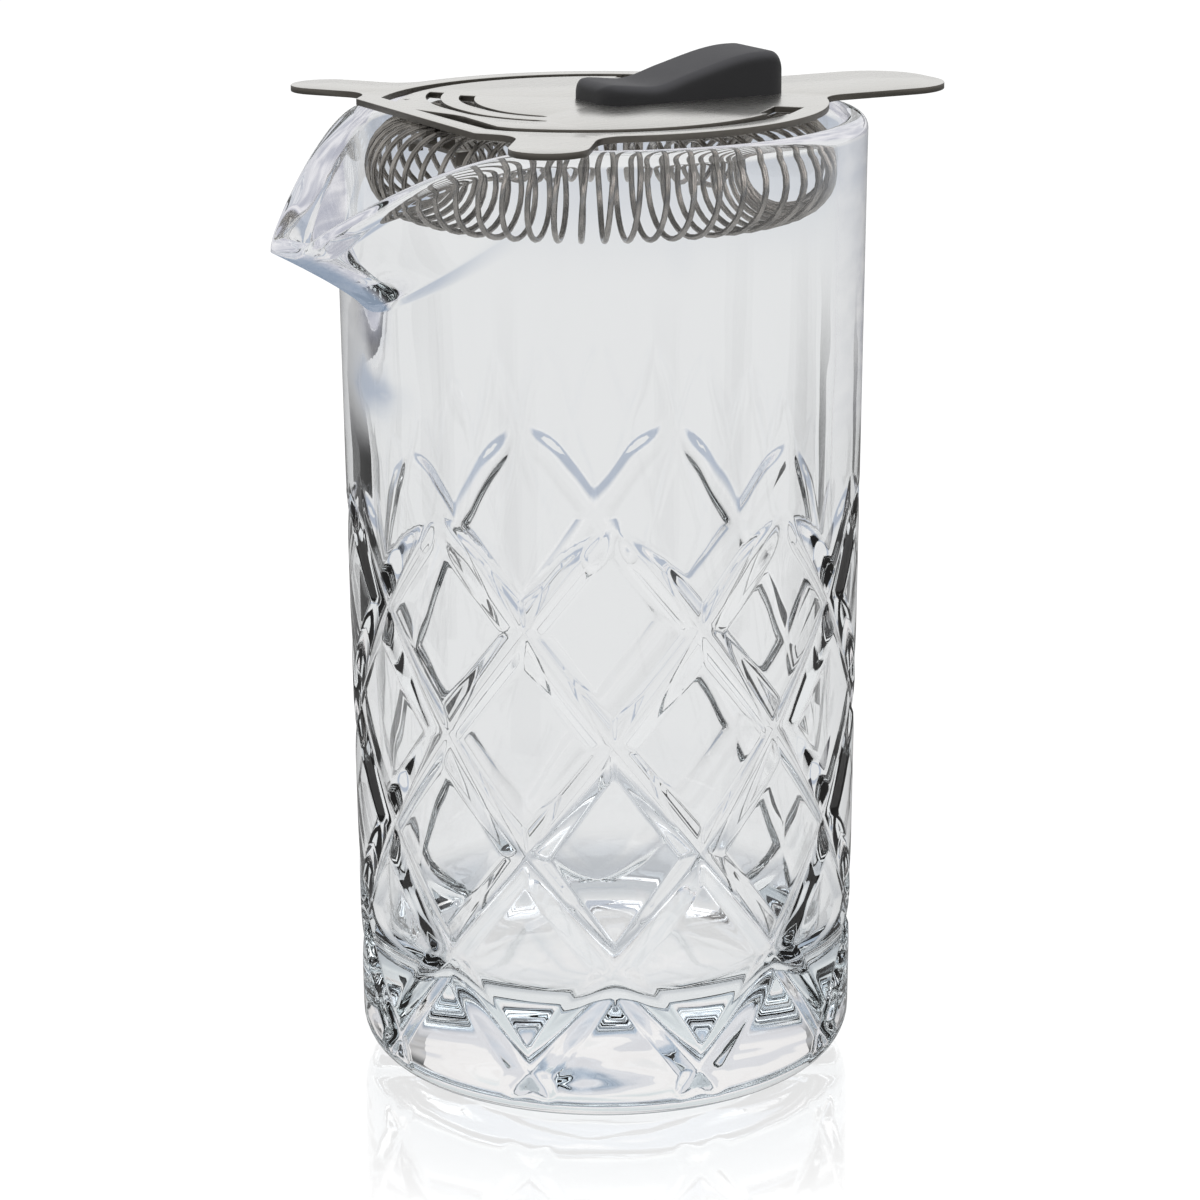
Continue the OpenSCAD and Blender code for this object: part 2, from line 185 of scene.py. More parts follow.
class SpringSizes(bpy.types.PropertyGroup):
    wire_r: length("Wire radius", "Radius of the wire", 0.0005)
    curl_d: length("Curl", "Outer diameter of a curl", 0.0174)
    curls: IntProperty(name="Curls", description="Number of curls", default=51, min=3)
    open_angle: turn("Opening", "Angle that the spring leaves open under the handle", 38)
    wall_gap: length("Wall gap", "Room between the spring and the glass", 0.0004)
    metal: paint("Metal", "Colour of the wire", (0.36, 0.34, 0.315))


class StrainerSizes(bpy.types.PropertyGroup):
    turned: turn("Turned by", "How far the strainer is turned on the rim, clockwise", 4.6)
    seat_gap: length("Seat gap", "Room between the sheet and the rim", 0.0003)
    plate_shift: length("Shift", "How far the sheet lies off the axis", 0.004)
    sheet_t: length("Sheet", "Thickness of the sheet", 0.0012)
    edge_round: length("Edge rounding", "Rounding of the sheared edges", 0.00012)
    rest_l: length("Rest length", "Length of the thumb rest", 0.037)
    rest_w: length("Rest width", "Width of the thumb rest", 0.0165)
    rest_low_h: length("Rest, low end", "Height of its low end", 0.0035)
    rest_high_h: length("Rest, high end", "Height of its high end", 0.0078)
    rest_front: length("Rest front", "Place of the low end before the middle", 0.0005)
    rest_corner_r: length("Rest corners", "Radius of its corners from above", 0.0045)
    rest_edge_r: length("Rest edges", "Radius of its upper edges", 0.002)
    rest_dip: length("Rest dip", "How far its top dips behind the low end", 0.0006)
    rest_end_r: length("Rest end", "Radius of the top of its high end, seen from the side", 0.0038)
    rest_skin: length("Rest skin", "Rubber left over a rivet's hole", 0.0014)
    rivet_r: length("Rivet shank", "Radius of a rivet's shank", 0.0015)
    rivet_head_r: length("Rivet head", "Radius of a rivet's head", 0.003)
    rivet_head_h: length("Rivet head height", "Height of a rivet's head", 0.001)
    rivet_pitch: length("Rivet pitch", "Distance between the rivets", 0.020)
    steel: paint("Steel", "Colour of the satin sheet", (0.76, 0.75, 0.72))
    sheared: paint("Sheared edge", "Colour of the cut edges of the sheet", (0.14, 0.13, 0.115))
    rubber: paint("Rubber", "Colour of the thumb rest", (0.0105, 0.0105, 0.0115))


class StudioSizes(bpy.types.PropertyGroup):
    seen_through: paint("Seen through glass", "The table as the glass shows it",
                        (0.80, 0.805, 0.81))
    # Painted shadow: a darker ring on the table round the foot, which only the glass shows
    painted_foot_shadow: paint("Under the glass", "The table at the foot as the glass shows it",
                       (0.52, 0.54, 0.57))
    seen_behind: paint("Seen behind", "The backdrop as the glass shows it", (1.0, 0.93, 0.915))
    seen_over: paint("Seen over", "The backdrop's upper part as the glass shows it",
                     (0.82, 0.78, 0.80))
    seen_above: paint("Seen above", "The room above as the glass shows it", (0.44, 0.49, 0.58))
    mirrored: share("Mirrored", "Brightness of the backdrop in metal", 0.92)
    mirrored_low: share("Mirrored below", "Brightness of the table in metal", 0.28)
    table_gloss: share("Table gloss", "How much the table mirrors", 0.28)
    table_shade: share("Table shade", "How much of the table's shadow shows", 0.16)


class Wire:
    """A node socket that takes part in Python arithmetic."""

    def __init__(self, bench, socket):
        self.bench = bench
        self.socket = socket

    def maths(self, operation, *terms):
        """A Math node on the terms given."""
        return self.bench.node("ShaderNodeMath", {"operation": operation},
                               dict(enumerate(terms)))["Value"]

    def __add__(self, other):
        return self.maths("ADD", self, other)

    def __radd__(self, other):
        return self.maths("ADD", other, self)

    def __sub__(self, other):
        return self.maths("SUBTRACT", self, other)

    def __rsub__(self, other):
        return self.maths("SUBTRACT", other, self)

    def __mul__(self, other):
        return self.maths("MULTIPLY", self, other)

    def __rmul__(self, other):
        return self.maths("MULTIPLY", other, self)

    def __truediv__(self, other):
        return self.maths("DIVIDE", self, other)

    def __rtruediv__(self, other):
        return self.maths("DIVIDE", other, self)

    def __pow__(self, other):
        return self.maths("POWER", self, other)

    def __gt__(self, other):
        return self.maths("GREATER_THAN", self, other)

    def __abs__(self):
        return self.maths("ABSOLUTE", self)

    def root(self):
        return self.maths("SQRT", self)

    def cosine(self):
        return self.maths("COSINE", self)

    def sine(self):
        return self.maths("SINE", self)

    def least(self, other):
        return self.maths("MINIMUM", self, other)

    def greatest(self, other):
        return self.maths("MAXIMUM", self, other)

    def to_nearest(self, step):
        """Distance to the nearest multiple of a step."""
        return self.maths("PINGPONG", self, step / 2)

    def eased(self, low, high):
        """0 below low, 1 above high, and smooth between them."""
        return self.bench.node("ShaderNodeMapRange", {"interpolation_type": "SMOOTHSTEP"},
                               {"Value": self, "From Min": low, "From Max": high})["Result"]


class Outputs:
    """The outputs of a node, by name, as wires."""

    def __init__(self, bench, node):
        self.bench = bench
        self.made = node

    def __getitem__(self, name):
        return Wire(self.bench, self.made.outputs[name])


class Bench:
    """Lays the nodes of one tree."""

    def __init__(self, tree):
        self.tree = tree
        tree.nodes.clear()

    def node(self, kind, settings=None, sockets=None):
        """Add a node, set it up, then give its sockets their values or links."""
        made = self.tree.nodes.new(kind)
        made.location.x = NODE_SPACING * len(self.tree.nodes)
        for name, value in (settings or {}).items():
            setattr(made, name, value)
        for name, value in (sockets or {}).items():
            if isinstance(value, Wire):
                self.tree.links.new(value.socket, made.inputs[name])
            else:
                made.inputs[name].default_value = value
        return Outputs(self, made)

    def split(self, vector):
        """The three parts of a vector."""
        parts = self.node("ShaderNodeSeparateXYZ", sockets={"Vector": vector})
        return parts["X"], parts["Y"], parts["Z"]

    def join(self, x, y, z):
        """A vector from its three parts."""
        return self.node("ShaderNodeCombineXYZ", sockets={"X": x, "Y": y, "Z": z})["Vector"]

    def blended(self, factor, first, second):
        """A colour between two colours, which are sockets 6 and 7 of the Mix node."""
        mix = self.node("ShaderNodeMix", {"data_type": "RGBA"},
                        {"Factor": factor, 6: first, 7: second})
        return Wire(self, mix.made.outputs[2])

    def layered(self, factor, first, second):
        """A finish between two finishes."""
        return self.node("ShaderNodeMixShader", sockets={0: factor, 1: first, 2: second})["Shader"]

    def relief(self, height, distance, strength=1.0):
        """A surface normal that follows a height."""
        return self.node("ShaderNodeBump", sockets={
            "Height": height, "Distance": distance, "Strength": strength})["Normal"]

    def grain(self, place, scale, detail=3.0, roughness=0.5):
        """Even noise at a place."""
        return self.node("ShaderNodeTexNoise", sockets={
            "Vector": place, "Scale": scale, "Detail": detail, "Roughness": roughness})["Fac"]

    def stretched(self, place, scale, turned=0.0):
        """A place turned about the upright and stretched by a scale for each axis."""
        return self.node("ShaderNodeMapping", sockets={
            "Vector": place, "Scale": scale, "Rotation": (0, 0, turned)})["Vector"]


def grey(value):
    """A grey as a node takes it."""
    return (value, value, value, 1.0)


def solid(colour, times=1.0):
    """A colour as a node takes it, made brighter or darker."""
    return (*[times * c for c in colour], 1.0)


def new_finish(name):
    """An empty material and the bench for its nodes."""
    finish = bpy.data.materials.new(name)
    finish.use_nodes = True
    return finish, Bench(finish.node_tree)


def add_piece(name, mesh):
    """A named object in the scene that holds a mesh."""
    piece = bpy.data.objects.new(name, mesh)
    bpy.context.scene.collection.objects.link(piece)
    return piece


def smoothed(piece):
    """The same piece with all its faces shaded smooth."""
    for face in piece.data.polygons:
        face.use_smooth = True
    return piece


def hand_over(piece, body, slot, *nodes):
    """Tie a finished piece to its body and let it stand for its solids."""
    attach(piece, body)
    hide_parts(*nodes)


def open_tree(name, inputs):
    """A Geometry Nodes tree with named inputs, and the sockets that they give."""
    tree = bpy.data.node_groups.new(name, "GeometryNodeTree")
    tree.interface.new_socket("Geometry", in_out="OUTPUT", socket_type="NodeSocketGeometry")
    tree.interface.new_socket("Blank", in_out="INPUT", socket_type="NodeSocketGeometry")
    for label, kind in inputs.items():
        tree.interface.new_socket(label, in_out="INPUT", socket_type="NodeSocket" + kind)
    tree.interface.new_socket("Finish", in_out="INPUT", socket_type="NodeSocketMaterial")
    bench = Bench(tree)
    return bench, bench.node("NodeGroupInput")


def close_tree(bench, given, shape):
    """End a tree with real geometry in its finish."""
    real = bench.node("GeometryNodeRealizeInstances", sockets={"Geometry": shape})["Geometry"]
    dressed = bench.node("GeometryNodeSetMaterial", sockets={
        "Geometry": real, "Material": given["Finish"]})["Geometry"]
    bench.node("NodeGroupOutput", sockets={"Geometry": dressed})


def shaped(name, blank, bench, values):
    """Run a tree on a blank mesh and keep the result as a plain mesh."""
    piece = add_piece(name, blank)
    modifier = piece.modifiers.new("Shape", "NODES")
    modifier.node_group = bench.tree
    sockets = {item.name: item.identifier for item in bench.tree.interface.items_tree}
    for label, value in values.items():
        modifier[sockets[label]] = value
    evaluated = piece.evaluated_get(bpy.context.evaluated_depsgraph_get())
    mesh = bpy.data.meshes.new_from_object(evaluated)
    piece.modifiers.remove(modifier)
    piece.data = mesh
    mesh.name = name
    if not mesh.polygons:
        raise RuntimeError(name + " came out empty")
    return piece


class GlassForm:
    """Radii and heights of the glass, worked out from its sizes."""

    def __init__(self, size):
        self.size = size
        self.rim_round = size.wall / 2
        top_r = self.outer_r(size.height)
        inner_reach = size.spout_reach - size.wall
        inner_lip_w = size.lip_w - size.wall
        self.corner = atan2(size.lip_w / 2, size.spout_reach)
        self.flank = self.corner + acos(top_r / hypot(size.spout_reach, size.lip_w / 2))
        inner_corner = atan2(inner_lip_w / 2, inner_reach)
        inner_r = top_r - size.wall
        self.inner_flank = inner_corner + acos(inner_r / hypot(inner_reach, inner_lip_w / 2))
        self.outer_plan = (top_r, size.spout_reach, self.flank)
        self.inner_plan = (inner_r, inner_reach, self.inner_flank)
        self.cell_z = (size.lattice_high - size.lattice_low) / (HALF_CELLS * HALF_CELLS)

    def outer_r(self, z):
        """Radius of the outside at a height."""
        return self.size.base_r + (self.size.rim_r - self.size.base_r) * z / self.size.height

    def inner_r(self, z):
        """Radius of the inside at a height."""
        return self.outer_r(z) - self.size.wall

    def plan_r(self, phi, plan):
        """Reach of the mouth at an angle from the spout: round, then flank, then lip."""
        r, reach, flank = plan
        if phi >= flank:
            return r
        side = r / cos(flank - phi)
        lip = reach / cos(phi)
        return (side + lip - hypot(side - lip, self.size.lip_round)) / 2

    def rim_z(self, phi):
        """Top of the rim, which drops towards the lip."""
        if phi >= self.flank:
            return self.size.height
        along = min(1.0, tan(self.flank - phi) / tan(self.flank - self.corner))
        return self.size.height - self.size.lip_drop * along ** LIP_SWEEP

    def join_z(self, phi):
        """Height at which the spout leaves the wall."""
        rise = min(1.0, phi / self.flank) ** SHOULDER_SWEEP
        return self.size.keel_z + (self.size.shoulder_z - self.size.keel_z) * rise

    def spout_point(self, phi, t, inside):
        """A point on the way from the wall up to the rim; t runs from 0 to 1."""
        low = self.join_z(phi) + (self.size.wall * SPOUT_SOLE if inside else 0)
        high = self.rim_z(phi) - self.rim_round
        wall_r = self.inner_r(low) if inside else self.outer_r(low)
        reach = self.plan_r(phi, self.inner_plan if inside else self.outer_plan) - wall_r
        return wall_r + reach * t ** SPOUT_LEAN, low + (high - low) * t

    def rim_point(self, phi, angle):
        """A point on the round of the rim, from its outside over the top."""
        outer = self.plan_r(phi, self.outer_plan)
        inner = self.plan_r(phi, self.inner_plan)
        return ((outer + inner) / 2 + (outer - inner) / 2 * cos(angle),
                self.rim_z(phi) - self.rim_round * (1 - sin(angle)))

    def foot_point(self, angle):
        """A point on the outer corner at the foot."""
        z = self.size.foot_corner_r * (1 - cos(angle))
        return self.outer_r(z) - self.size.foot_corner_r * (1 - sin(angle)), z

    def floor_point(self, angle):
        """A point on the inner corner at the floor."""
        corner = self.size.floor_corner_r
        z = self.size.base_t + corner * (1 - cos(angle))
        return self.inner_r(z) - corner * (1 - sin(angle)), z

    def rows(self):
        """Rows of the skin from the base's middle, over the rim, to the floor's middle.

        Each row is a function of the angle from the spout, with a mark for the rows
        that the cuts may reach.
        """
        def plain(point):
            return lambda phi: point

        size = self.size
        foot_r = self.foot_point(0)[0]
        floor_r = self.floor_point(0)[0]
        step = self.cell_z / size.cells_split
        first = size.lattice_low - step
        lattice_rows = (HALF_CELLS * HALF_CELLS + 2) * size.cells_split
        turns = [radians(90 / CORNER_STEPS * k) for k in range(CORNER_STEPS + 1)]
        rows = [(plain((foot_r * out, size.base_hollow * rise)), 0) for out, rise in BASE_HOLLOW]
        rows += [(plain(self.foot_point(angle)), 1) for angle in turns[:-1]]
        for k in range(lattice_rows):
            z = first + step * k
            rows.append((plain((self.outer_r(z), z)), 1))
        shares = [k / SPOUT_STEPS for k in range(SPOUT_STEPS + 1)]
        rows += [(lambda phi, t=t: self.spout_point(phi, t, False), 0) for t in shares]
        rows += [(lambda phi, a=pi * k / RIM_STEPS: self.rim_point(phi, a), 0)
                 for k in range(1, RIM_STEPS)]
        rows += [(lambda phi, t=t: self.spout_point(phi, t, True), 0) for t in reversed(shares)]
        wall_low = self.floor_point(pi / 2)[1]
        for k in range(1, WALL_STEPS):
            z = size.keel_z + (wall_low - size.keel_z) * k / WALL_STEPS
            rows.append((plain((self.inner_r(z), z)), 0))
        rows += [(plain(self.floor_point(angle)), 0) for angle in reversed(turns)]
        rows += [(plain((floor_r * k / FLOOR_STEPS, size.base_t)), 0)
                 for k in range(FLOOR_STEPS - 1, 0, -1)]
        return rows


def wrapped(n):
    """Distance to the nearest cut, in cells."""
    m = n % (2 * HALF_CELLS)
    return min(m, 2 * HALF_CELLS - m)


def glass_blank(form):
    """The uncut glass. Its cells are halved along the cut that lies nearer."""
    size = form.size
    columns = size.diamonds * 2 * HALF_CELLS * size.cells_split
    points = []
    skin = []
    for row, reached in form.rows():
        for i in range(columns):
            angle = 2 * pi * i / columns
            r, z = row(abs(angle - SPOUT_ANGLE))
            points.append((r * cos(angle), r * sin(angle), z))
            skin.append(reached)
    faces = []
    row_count = len(points) // columns
    for k in range(row_count - 1):
        for i in range(columns):
            beside = (i + 1) % columns
            a, b = k * columns + i, k * columns + beside
            c, d = b + columns, a + columns
            across = (i + 0.5) / size.cells_split
            down = (size.lattice_high - (points[a][2] + points[d][2]) / 2) / form.cell_z
            if skin[a] and wrapped(across + down) < wrapped(across - down):
                faces += [(a, b, c), (a, c, d)]
            else:
                faces += [(a, b, d), (b, c, d)]
    base = len(points)
    last = (row_count - 1) * columns
    points += [(0, 0, size.base_hollow), (0, 0, size.base_t)]
    skin += [0, 0]
    for i in range(columns):
        beside = (i + 1) % columns
        faces += [(base, beside, i), (base + 1, last + i, last + beside)]
    mesh = bpy.data.meshes.new("glass_blank")
    mesh.from_pydata(points, [], faces)
    mesh.attributes.new("outer_skin", "FLOAT", "POINT").data.foreach_set("value", skin)
    mesh.polygons.foreach_set("use_smooth", [True] * len(mesh.polygons))
    return mesh


def cut_tree():
    """Pushes the skin in along two families of slanting cuts that cross in diamonds."""
    bench, given = open_tree("Diamond cuts", {
        "Diamonds": "Float", "Peak height": "Float", "Cell height": "Float", "Depth": "Float",
        "Half width": "Float", "Edge": "Float"})
    place = bench.node("GeometryNodeInputPosition")["Position"]
    skin = bench.node("GeometryNodeInputNamedAttribute", {"data_type": "FLOAT"},
                      {"Name": "outer_skin"})["Attribute"]
    x, y, z = bench.split(place)
    around = x.maths("ARCTAN2", y, x)
    across = around * given["Diamonds"] * (HALF_CELLS / pi)
    down = (given["Peak height"] - z) / given["Cell height"]
    rising = (across + down).to_nearest(2 * HALF_CELLS)
    falling = (across - down).to_nearest(2 * HALF_CELLS)
    run_out = down.eased(*CUT_START) * (1 - down.eased(*CUT_END))
    off = rising.least(falling) / given["Half width"]
    raw = given["Depth"] * (run_out - off ** CUT_SLOPE)
    edge = given["Edge"]
    depth = (raw + (raw * raw + edge * edge).root() - edge * CUT_TRIM).greatest(0) / 2
    radius = (x * x + y * y).root().greatest(AXIS_R)
    push = depth * skin * run_out.greatest(0) ** CUT_TAPER
    inward = bench.join(0 - x * push / radius, 0 - y * push / radius, 0.0)
    cut = bench.node("GeometryNodeSetPosition", sockets={
        "Geometry": given["Blank"], "Offset": inward})["Geometry"]
    close_tree(bench, given, cut)
    return bench


def spring_tree():
    """Winds one wire into a ring of curls."""
    bench, given = open_tree("Coil spring", {
        "Curls": "Float", "Ring radius": "Float", "Curl radius": "Float",
        "Wire radius": "Float", "Height": "Float", "Opening": "Float", "Turned": "Float"})
    count = given["Curls"] * CURL_STEPS + 1
    line = bench.node("GeometryNodeMeshLine", sockets={"Count": count})["Mesh"]
    path = bench.node("GeometryNodeMeshToCurve", sockets={"Mesh": line})["Curve"]
    curl = bench.node("GeometryNodeInputIndex")["Index"] / CURL_STEPS
    around = (given["Opening"] / 2 - given["Turned"]
              + curl * (2 * pi - given["Opening"]) / given["Curls"])
    phase = (curl + 1 / 4) * (2 * pi)
    r = given["Ring radius"] + given["Curl radius"] * phase.cosine()
    z = given["Height"] + given["Curl radius"] * phase.sine()
    wound = bench.node("GeometryNodeSetPosition", sockets={
        "Geometry": path, "Position": bench.join(r * around.cosine(), r * around.sine(), z)})
    section = bench.node("GeometryNodeCurvePrimitiveCircle", sockets={
        "Resolution": WIRE_SIDES, "Radius": given["Wire radius"]})["Curve"]
    wire = bench.node("GeometryNodeCurveToMesh", sockets={
        "Curve": wound["Geometry"], "Profile Curve": section, "Fill Caps": True})["Mesh"]
    close_tree(bench, given, wire)
    return bench


def rivet_tree():
    """Sets domed rivets along a line under the sheet."""
    bench, given = open_tree("Domed rivets", {
        "Count": "Int", "First": "Vector", "Step": "Vector", "Shank radius": "Float",
        "Shank height": "Float", "Head radius": "Float", "Head height": "Float"})
    head = bench.node("GeometryNodeMeshCylinder", {"fill_type": "TRIANGLE_FAN"}, {
        "Vertices": HEAD_SIDES, "Side Segments": 1, "Fill Segments": HEAD_RINGS,
        "Radius": given["Head radius"], "Depth": given["Head height"]})["Mesh"]
    x, y, z = bench.split(bench.node("GeometryNodeInputPosition")["Position"])
    out = (x * x + y * y).root() / given["Head radius"]
    crown = (1 - out * out).greatest(0) * (1 - HEAD_EDGE)
    low = given["Head height"] * (-HEAD_EDGE - crown)
    lowered = bench.join(x, y, low * (0 - z > 0))
    domed = bench.node("GeometryNodeSetPosition", sockets={
        "Geometry": head, "Position": lowered})["Geometry"]
    shank = bench.node("GeometryNodeMeshCylinder", sockets={
        "Vertices": SHANK_SIDES, "Radius": given["Shank radius"],
        "Depth": given["Shank height"]})["Mesh"]
    lift = bench.join(0.0, 0.0, given["Shank height"] / 2 - SHANK_OVERLAP)
    raised = bench.node("GeometryNodeTransform", sockets={
        "Geometry": shank, "Translation": lift})["Geometry"]
    rivet = bench.node("GeometryNodeJoinGeometry")
    for part in (domed, raised):
        bench.tree.links.new(part.socket, rivet.made.inputs[0])
    row = bench.node("GeometryNodeMeshLine", sockets={
        "Count": given["Count"], "Start Location": given["First"], "Offset": given["Step"]})
    placed = bench.node("GeometryNodeInstanceOnPoints", sockets={
        "Points": row["Mesh"], "Instance": rivet["Geometry"]})["Instances"]
    close_tree(bench, given, placed)
    return bench


def cut_glass_finish(size):
    """Heavy clear glass, faintly green where it is thick, with the ripple of pressed glass.

    Painted light: a ray that wanders about in the spout ends in a painted glow of pale and dark
    room colours instead of in black, and the underside of the spout glows with painted blue-grey
    room light from below.
    """
    finish, bench = new_finish("cut_glass")
    place = bench.node("ShaderNodeTexCoord")["Object"]
    ripple = bench.grain(bench.stretched(place, (1, 1, 0.45)), scale=55, detail=2,
                         roughness=0.45)
    normal = bench.relief(ripple, distance=0.00035, strength=0.5)
    glass = bench.node("ShaderNodeBsdfPrincipled", sockets={
        "Base Color": grey(1.0), "Roughness": 0.0, "IOR": size.bend,
        "Transmission Weight": 1.0, "Normal": normal})["BSDF"]
    lit_through = bench.node("ShaderNodeBsdfTransparent", sockets={"Color": grey(0.93)})["BSDF"]
    path = bench.node("ShaderNodeLightPath")
    across, height = bench.split(place)[1:]
    high = height.eased(*SPOUT_GLOW_RISE)
    lost = (path["Glossy Depth"] > LOST_REFLECTIONS).greatest(path["Ray Depth"] > LOST_BOUNCES)
    # Painted light: where the spout faces down it glows with painted room light from below
    facing_down = 0 - bench.split(bench.node("ShaderNodeNewGeometry")["Normal"])[2]
    keel = 1 - abs(across).eased(*KEEL_SIDE)
    below = (facing_down.eased(*FACING_DOWN) * keel * path["Is Camera Ray"] * size.spout_painted_light
             * high)
    cloud = bench.grain(bench.stretched(place, (1, 1, 2.5)), scale=130)
    inside = bench.blended(cloud.eased(0.3, 0.7), solid(size.spout_painted_dark), solid(size.spout_painted_pale))
    # Painted light: the glass emits this glow, pale and dark in patches and blue-grey underneath,
    # in place of room light
    sky = bench.node("ShaderNodeEmission", sockets={
        "Color": bench.blended(below, inside, solid(size.spout_painted_under))})["Emission"]
    depth = bench.node("ShaderNodeVolumeAbsorption", sockets={
        "Color": solid(size.tint), "Density": size.tint_depth})["Volume"]
    bench.node("ShaderNodeOutputMaterial", sockets={
        "Surface": bench.layered((lost * high).greatest(below), bench.layered(
            path["Is Shadow Ray"], glass, lit_through), sky),
        "Volume": depth})
    return finish


def satin_finish(name, size, turned):
    """Satin sheet steel, with fine lines along the sheet and darker sheared edges."""
    finish, bench = new_finish(name)
    spot = bench.node("ShaderNodeTexCoord")
    lines = bench.grain(bench.stretched(spot["Object"], (160, 3200, 160), turned), scale=1.0,
                        detail=4, roughness=0.6)
    cloud = bench.grain(spot["Object"], scale=70, detail=2)
    edge = 1 - abs(bench.split(spot["Normal"])[2]).eased(0.35, 0.75)
    face = bench.blended(lines.eased(0.30, 0.72), solid(size.steel, times=0.90),
                         solid(size.steel))
    shade = bench.blended(edge, face, solid(size.sheared))
    rough = 0.21 + 0.08 * lines + 0.05 * cloud + 0.16 * edge
    normal = bench.relief(lines, distance=0.00001, strength=0.5)
    steel = bench.node("ShaderNodeBsdfPrincipled", sockets={
        "Base Color": shade, "Metallic": 1.0, "Roughness": rough, "Normal": normal})["BSDF"]
    bench.node("ShaderNodeOutputMaterial", sockets={"Surface": steel})
    return finish


def wire_finish(size):
    """Bright drawn wire, a little brown in its darker stretches."""
    finish, bench = new_finish("drawn_wire")
    place = bench.node("ShaderNodeTexCoord")["Object"]
    cloud = bench.grain(place, scale=240)
    drawn = bench.relief(bench.grain(place, scale=2500, detail=2), distance=0.00001,
                         strength=0.4)
    shade = bench.blended(cloud.eased(0.3, 0.7), solid(size.metal, times=0.5),
                          solid(size.metal))
    wire = bench.node("ShaderNodeBsdfPrincipled", sockets={
        "Base Color": shade, "Metallic": 1.0, "Roughness": 0.12 + 0.16 * cloud,
        "Normal": drawn})["BSDF"]
    bench.node("ShaderNodeOutputMaterial", sockets={"Surface": wire})
    return finish


def rubber_finish(size):
    """Matte moulded rubber with a fine grain, paler in soft patches, and with painted light that
    makes its upward-facing top paler.
    """
    finish, bench = new_finish("matte_rubber")
    spot = bench.node("ShaderNodeTexCoord")
    grain = bench.grain(spot["Object"], scale=2600, detail=4, roughness=0.6)
    cloud = bench.grain(spot["Object"], scale=120)
    # Painted light: faces that look up are painted up to six times paler, as if lit from above
    up = bench.split(spot["Normal"])[2].eased(0.2, 0.95)
    shade = bench.blended(0.15 * cloud + 0.8 * up, solid(size.rubber),
                          solid(size.rubber, times=6.0))
    rubber = bench.node("ShaderNodeBsdfPrincipled", sockets={
        "Base Color": shade, "Roughness": 0.50 + 0.14 * cloud + 0.06 * grain,
        "Specular IOR Level": 0.32,
        "Normal": bench.relief(grain, distance=0.00004, strength=0.55)})["BSDF"]
    bench.node("ShaderNodeOutputMaterial", sockets={"Surface": rubber})
    return finish


def rounded_copy(name, node, rounding, finish):
    """A copy of a sheet part with whole faces and rounded edges."""
    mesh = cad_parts[node].data.copy()
    build = bmesh.new()
    build.from_mesh(mesh)
    bmesh.ops.remove_doubles(build, verts=build.verts, dist=MERGE_REACH)
    bmesh.ops.dissolve_limit(build, angle_limit=FLAT_ANGLE, verts=build.verts,
                             edges=build.edges)
    sharp = [e for e in build.edges
             if len(e.link_faces) == 2 and e.calc_face_angle(0) > SHEARED_ANGLE]
    bmesh.ops.bevel(build, geom=sharp, offset=rounding, segments=2, profile=0.5,
                    affect="EDGES", clamp_overlap=True)
    bmesh.ops.triangulate(build, faces=[f for f in build.faces if len(f.verts) > 4])
    build.to_mesh(mesh)
    build.free()
    mesh.name = name
    mesh.materials.clear()
    mesh.materials.append(finish)
    for face in mesh.polygons:
        face.use_smooth = abs(face.normal.z) < UPRIGHT
    mesh.set_sharp_from_angle(angle=CREASE_ANGLE)
    return add_piece(name, mesh)


def part_way(t, start, run):
    """How far t has come from a start over a run, from 0 to 1."""
    return max(0.0, min(1.0, (t - start) / run))


def eased(t, start, run):
    """The same, with a soft start and a soft end."""
    c = part_way(t, start, run)
    return c * c * (3 - 2 * c)


def corner_cut(r, d):
    """How far a corner of radius r cuts in at distance d from the end."""
    return 0.0 if d >= r else r - sqrt(r * r - (r - d) * (r - d))


def rest_section(size, t):
    """One cross-section of the thumb rest; t runs from its low end to its high end."""
    end = size.rest_l * min(t, 1 - t)
    half = size.rest_w / 2 - corner_cut(size.rest_corner_r, end)
    rise = eased(t, *REST_RISE)
    dip = size.rest_dip * sin(pi * part_way(t, *REST_DIP)) ** 2
    high = size.rest_low_h + (size.rest_high_h - size.rest_low_h) * rise - dip
    end_r = size.rest_edge_r + (size.rest_end_r - size.rest_edge_r) * eased(t, *REST_END)
    top = size.sheet_t + high - corner_cut(end_r, end)
    x = size.rest_l * t - size.rest_front
    r = size.rest_edge_r
    turns = [radians(90 / REST_EDGE_STEPS * k) for k in range(REST_EDGE_STEPS + 1)]
    arc = [(r * (1 - cos(a)), r * (1 - sin(a))) for a in turns]
    flat = half - r
    left = [(x, -half, size.sheet_t), (x, -half, (size.sheet_t + top - r) / 2)]
    left += [(x, -half + a, top - b) for a, b in arc]
    middle = [(x, -flat + 2 * flat * k / REST_TOP_STEPS, top) for k in range(1, REST_TOP_STEPS)]
    right = [(x, half - a, top - b) for a, b in reversed(arc)]
    right += [(x, half, (size.sheet_t + top - r) / 2), (x, half, size.sheet_t)]
    under = [(x, half * (1 - 2 * k / REST_UNDER_STEPS), size.sheet_t)
             for k in range(1, REST_UNDER_STEPS)]
    return left + middle + right + under


def in_plate(size, height):
    """From the frame of the sheet to the frame of the part."""
    return (Matrix.Translation((0, 0, height + size.seat_gap))
            @ Matrix.Rotation(-size.turned, 4, "Z")
            @ Matrix.Translation((0, size.plate_shift, 0)))


class GlassOperator(bpy.types.Operator):
    """Make the cut glass with its spout"""
    bl_idname = "mixing_glass.glass"
    bl_label = "Cut glass"

    def execute(self, context):
        size = context.scene.glass_sizes
        form = GlassForm(size)
        piece = shaped("glass_body", glass_blank(form), cut_tree(), {
            "Diamonds": float(size.diamonds), "Peak height": size.lattice_high,
            "Cell height": form.cell_z, "Depth": size.cut_depth,
            "Half width": size.cut_cells, "Edge": size.cut_edge,
            "Finish": cut_glass_finish(size)})
        hand_over(smoothed(piece), "glass", "clear_glass", "mixing_glass")
        return {"FINISHED"}


